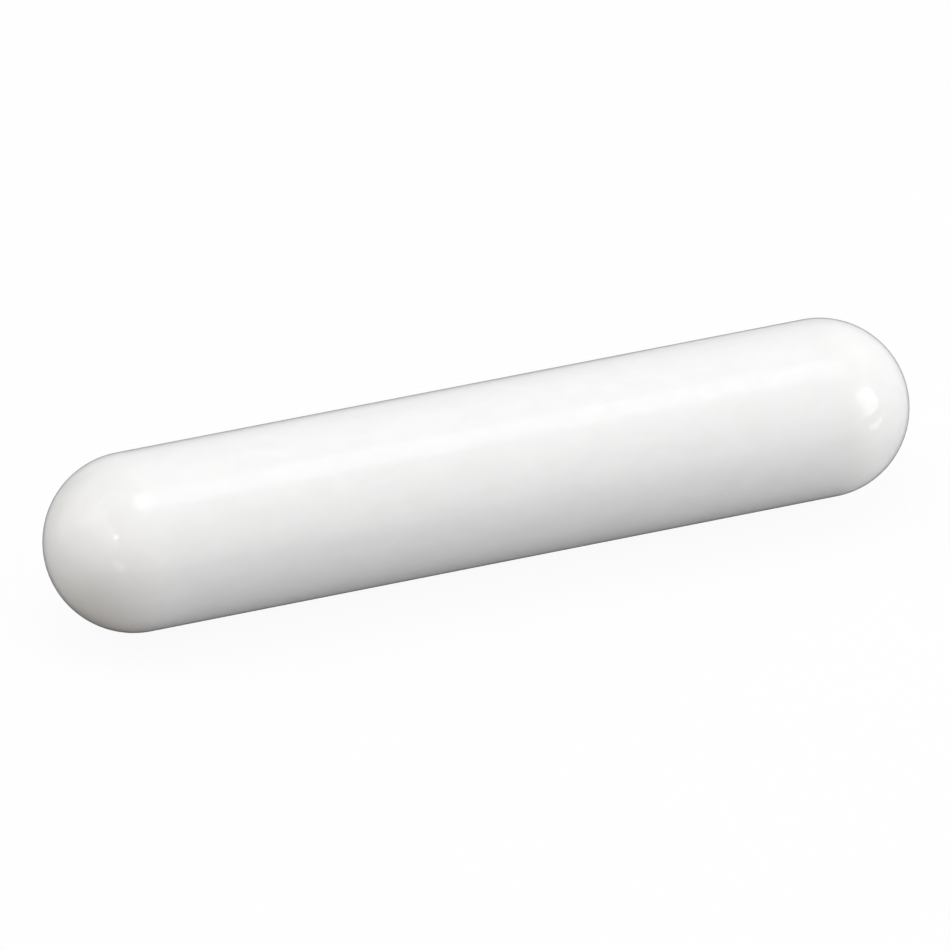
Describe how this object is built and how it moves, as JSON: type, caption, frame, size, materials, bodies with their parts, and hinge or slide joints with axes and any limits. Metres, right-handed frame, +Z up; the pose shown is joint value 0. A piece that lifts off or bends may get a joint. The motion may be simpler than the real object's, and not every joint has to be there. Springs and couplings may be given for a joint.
{
  "type": "magnetic stir bar",
  "caption": "Smooth white round-ended bar with a rod magnet sealed in a seamless plastic jacket; it lies in a vessel of liquid and a drive magnet underneath spins it.",
  "frame": {"origin": "centre of the bar, on its axis midway between the two tips", "axes": "+X along the bar's axis towards one of its two like ends; +Z up with the bar lying on its side, so its lowest line is at z = -4 mm"},
  "size_m": [0.04, 0.008, 0.008],
  "materials": {
    "jacket_plastic": "white fluoropolymer, moulded and polished, waxy gloss, slightly translucent",
    "magnet_alloy": "dark grey cast magnet alloy, ground on its side, never seen in use"
  },
  "bodies": {
    "root": {"jacket": "jacket_plastic", "bar_magnet": "magnet_alloy"}
  },
  "joints": []
}
